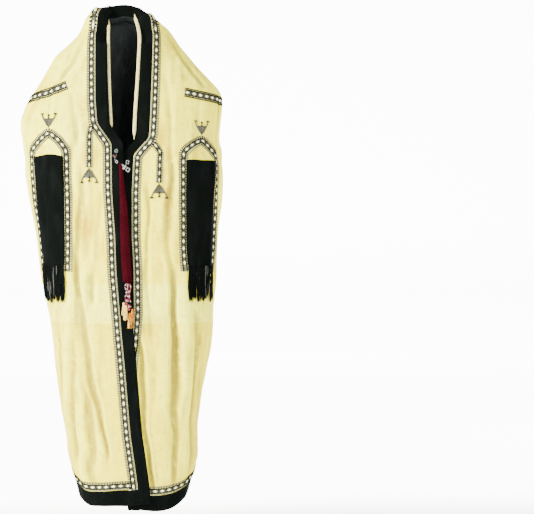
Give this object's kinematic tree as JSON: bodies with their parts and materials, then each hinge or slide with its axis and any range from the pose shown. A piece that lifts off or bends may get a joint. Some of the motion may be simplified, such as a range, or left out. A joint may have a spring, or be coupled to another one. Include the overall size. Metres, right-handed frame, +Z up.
{
  "type": "paranja",
  "caption": "Long white mantle worn over the head, open down the front, with black borders, patterned braid, fringed breast panels and false sleeves tied at the back.",
  "frame": {"origin": "middle of the crown seam, where the top of the wearer's head holds the mantle", "axes": "+Z up along the garment's length, the front opening faces -Y, +X is towards the wearer's left"},
  "size_m": [0.5712, 0.3732, 1.4236],
  "materials": {
    "cotton": "cream cotton, slubbed plain weave, soft creases and faint yellow stains",
    "black_cloth": "black cotton velvet with a soft sheen",
    "braid": "woven braid of cream lozenges between black lines",
    "lining": "dark charcoal cotton, matte",
    "crimson": "crimson wool tape, slightly glossy",
    "beads": "small opaque glass beads, pink, white and grey",
    "beadwork": "chequered glass beadwork in black, white, pale green and pink",
    "tassel_orange": "orange silk thread, glossy"
  },
  "bodies": {
    "root": {"front_left": "cotton", "back_left": "cotton", "border_left": "black_cloth", "hem_front_left": "black_cloth", "hem_back_left": "black_cloth", "edge_braid_left": "braid", "hem_braid_front_left": "braid", "hem_braid_back_left": "braid", "lining_left": "lining", "false_sleeve_left": "cotton", "sleeve_end_left": "black_cloth", "breast_braid_left": "braid", "breast_panel_left": "black_cloth", "breast_fringe_left": "black_cloth", "shoulder_braid_front_left": "braid", "shoulder_braid_back_left": "braid", "inner_ribbon_left": "cotton", "clasp_left": "beads", "beaded_band_left": "beadwork", "band_tassel_left": "tassel_orange", "front_right": "cotton", "back_right": "cotton", "border_right": "black_cloth", "hem_front_right": "black_cloth", "hem_back_right": "black_cloth", "edge_braid_right": "braid", "hem_braid_front_right": "braid", "hem_braid_back_right": "braid", "lining_right": "lining", "false_sleeve_right": "cotton", "sleeve_end_right": "black_cloth", "breast_braid_right": "braid", "breast_panel_right": "black_cloth", "breast_fringe_right": "black_cloth", "shoulder_braid_front_right": "braid", "shoulder_braid_back_right": "braid", "inner_ribbon_right": "cotton", "clasp_right": "beads", "beaded_band_right": "beadwork", "band_tassel_right": "tassel_orange", "border_crown": "black_cloth", "crown_braid": "braid", "branch_braid_left": "braid", "branch_braid_right": "braid", "yoke_braid": "braid", "tie_ribbon": "crimson", "bead_drop_left": "beads", "bead_drop_right": "beads", "chest_tassel_left": "tassel_orange", "chest_tassel_right": "tassel_orange", "back_knot": "crimson", "centre_tassel": "tassel_orange"}
  },
  "joints": []
}
